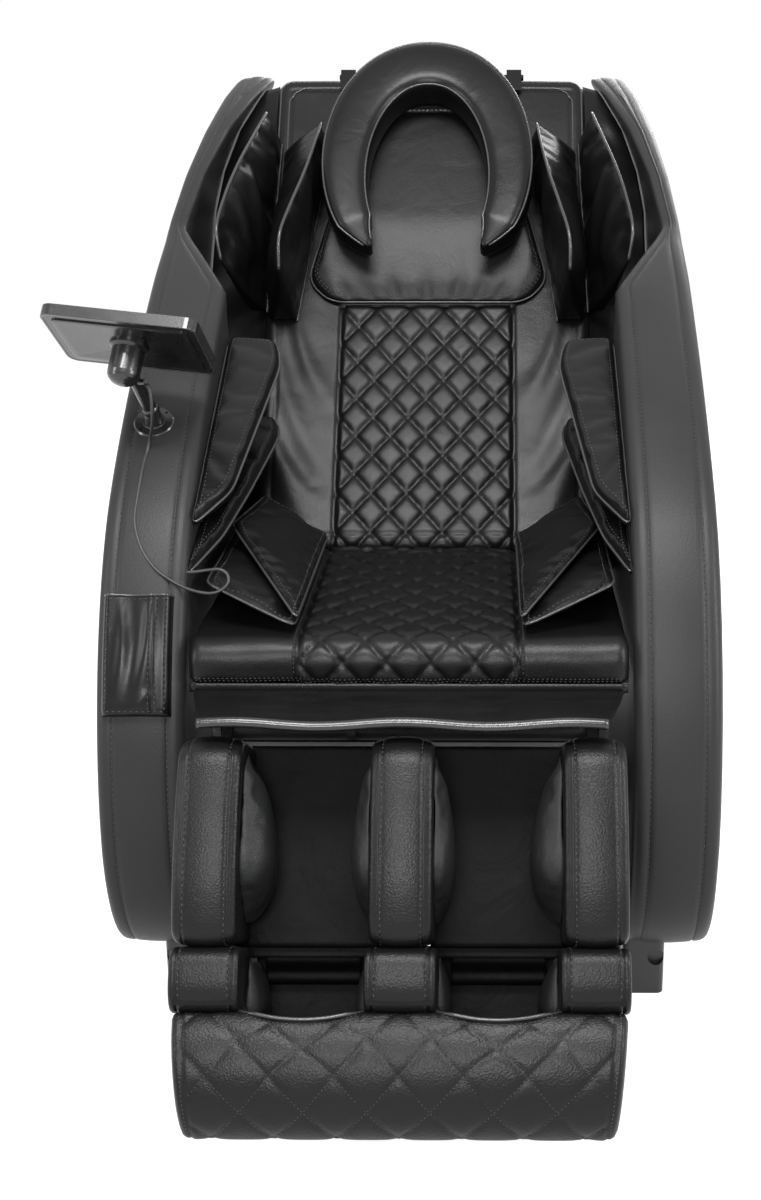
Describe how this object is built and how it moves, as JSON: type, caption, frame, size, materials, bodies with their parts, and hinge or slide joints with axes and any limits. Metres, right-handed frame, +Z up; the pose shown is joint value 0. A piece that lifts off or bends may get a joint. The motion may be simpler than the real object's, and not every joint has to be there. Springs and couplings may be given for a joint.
{
  "type": "massage chair",
  "caption": "Upholstered massage armchair with high side shells, quilted seat and reclining back, lifting leg rest with foot section and a tablet controller on an arm.",
  "frame": {"origin": "on the floor, under the centre of the chair's outer box", "axes": "+X across the chair towards the armrest without the controller, +Y from the leg rest towards the back, +Z up"},
  "size_m": [0.8211, 1.4286, 1.1907],
  "materials": {
    "black_leather": "fine grain, satin",
    "black_plastic": "fine texture",
    "grey_plastic": "moulded",
    "roller_plastic": "smooth",
    "painted_steel": "powder coat",
    "bright_steel": "ground",
    "plywood": "raw",
    "wheel_rubber": "matte",
    "airbag_cloth": "coated cloth",
    "cable_rubber": "matte"
  },
  "bodies": {
    "base": {"base_frame": "painted_steel", "floor_feet": "black_plastic", "wheel_axle": "bright_steel", "seat_frame": "painted_steel", "seat_pan": "plywood", "pivot_pins": "bright_steel", "side_shell_left": "black_leather", "side_shell_right": "black_leather", "side_panels": "black_plastic", "armrest_left": "black_leather", "armrest_right": "black_leather", "remote_pocket": "black_leather", "seat_cushion": "black_leather", "skirt_flap": "black_leather", "arm_pad_upper_left": "black_leather", "arm_pad_upper_right": "black_leather", "arm_pad_lower_left": "black_leather", "arm_pad_lower_right": "black_leather", "hip_pad_upper_left": "black_leather", "hip_pad_upper_right": "black_leather", "hip_pad_lower_left": "black_leather", "hip_pad_lower_right": "black_leather", "air_pump": "grey_plastic", "control_box": "black_plastic", "power_inlet": "black_plastic", "recline_motor": "grey_plastic", "legrest_motor": "grey_plastic", "tablet_flange": "black_plastic", "tablet_cable": "cable_rubber"},
    "wheel_left": {"rear_wheel_left": "wheel_rubber"},
    "wheel_right": {"rear_wheel_right": "wheel_rubber"},
    "rocker": {"power_switch": "black_plastic"},
    "recline_rod": {"recline_rod": "bright_steel"},
    "legrest_rod": {"legrest_rod": "bright_steel"},
    "backrest": {"back_frame": "painted_steel", "back_cover": "black_leather", "massage_rails": "painted_steel", "back_pad": "black_leather", "head_pad": "black_leather", "neck_pillow": "black_leather", "pillow_straps": "black_leather", "shoulder_pad_outer_left": "black_leather", "shoulder_pad_outer_right": "black_leather", "shoulder_pad_inner_left": "black_leather", "shoulder_pad_inner_right": "black_leather"},
    "carriage": {"massage_carriage": "painted_steel"},
    "kneading_head": {"kneading_head": "bright_steel"},
    "upper_rollers": {"rollers_upper": "roller_plastic"},
    "lower_rollers": {"rollers_lower": "roller_plastic"},
    "legrest": {"legrest_frame": "painted_steel", "calf_pad_left": "black_leather", "calf_pad_middle": "black_leather", "calf_pad_right": "black_leather", "calf_airbags": "airbag_cloth"},
    "foot": {"foot_shell": "black_plastic", "foot_cover": "black_leather", "foot_airbags": "airbag_cloth"},
    "sole_rollers": {"sole_rollers": "roller_plastic"},
    "tablet_arm": {"tablet_arm": "black_plastic"},
    "tablet": {"tablet": "black_plastic"}
  },
  "joints": [
    {"name": "backrest_recline", "type": "hinge", "parent": "base", "child": "backrest", "pos_m": [0.0315, 0.11418, 0.43792], "axis": [-1, 0, 0], "range_deg": [-7, 38]},
    {"name": "legrest_lift", "type": "hinge", "parent": "base", "child": "legrest", "pos_m": [0.0315, -0.3467, 0.38], "axis": [-1, 0, 0], "range_deg": [0, 50], "deforming": ["skirt_flap"]},
    {"name": "foot_extension", "type": "slide", "parent": "legrest", "child": "foot", "axis": [0, -0.5, -0.866], "range_m": [0, 0.15]},
    {"name": "recline_rod_slide", "type": "slide", "parent": "base", "child": "recline_rod", "axis": [0, -1, 0], "range_m": [-0.0205, 0.106]},
    {"name": "legrest_rod_slide", "type": "slide", "parent": "base", "child": "legrest_rod", "axis": [0, -1, 0], "range_m": [0, 0.141]},
    {"name": "massage_travel", "type": "slide", "parent": "backrest", "child": "carriage", "axis": [0, 0.6018, 0.7986], "range_m": [-0.17, 0.39]},
    {"name": "kneading_tilt", "type": "hinge", "parent": "carriage", "child": "kneading_head", "pos_m": [0.0315, 0.31635, 0.68626], "axis": [-1, 0, 0], "range_deg": [-6, 6]},
    {"name": "upper_roller_spin", "type": "hinge", "parent": "kneading_head", "child": "upper_rollers", "pos_m": [0.0315, 0.35989, 0.74736], "axis": [-1, 0, 0], "continuous": true},
    {"name": "lower_roller_spin", "type": "hinge", "parent": "kneading_head", "child": "lower_rollers", "pos_m": [0.0315, 0.26961, 0.62757], "axis": [-1, 0, 0], "continuous": true},
    {"name": "sole_roller_spin", "type": "hinge", "parent": "foot", "child": "sole_rollers", "pos_m": [0.0315, -0.60636, 0.06226], "axis": [-1, 0, 0], "continuous": true},
    {"name": "left_wheel_spin", "type": "hinge", "parent": "base", "child": "wheel_left", "pos_m": [-0.2355, 0.4783, 0.032], "axis": [1, 0, 0], "continuous": true},
    {"name": "right_wheel_spin", "type": "hinge", "parent": "base", "child": "wheel_right", "pos_m": [0.2985, 0.4783, 0.032], "axis": [1, 0, 0], "continuous": true},
    {"name": "power_rocker", "type": "hinge", "parent": "base", "child": "rocker", "pos_m": [-0.0725, 0.4983, 0.12], "axis": [1, 0, 0], "range_deg": [0, 16]},
    {"name": "tablet_swivel", "type": "hinge", "parent": "base", "child": "tablet_arm", "pos_m": [-0.2995, -0.1529, 0.7222], "axis": [0, -0.5884, 0.8086], "range_deg": [-40, 75], "deforming": ["tablet_cable"]},
    {"name": "tablet_tilt", "type": "hinge", "parent": "tablet_arm", "child": "tablet", "pos_m": [-0.3165, -0.21527, 0.80791], "axis": [0.9907, -0.1041, -0.0872], "range_deg": [-12, 25]}
  ],
  "couplings": [
    {"joint": "recline_rod_slide", "follows": "backrest_recline", "m_per_rad": 0.1582},
    {"joint": "legrest_rod_slide", "follows": "legrest_lift", "m_per_rad": 0.1603}
  ]
}
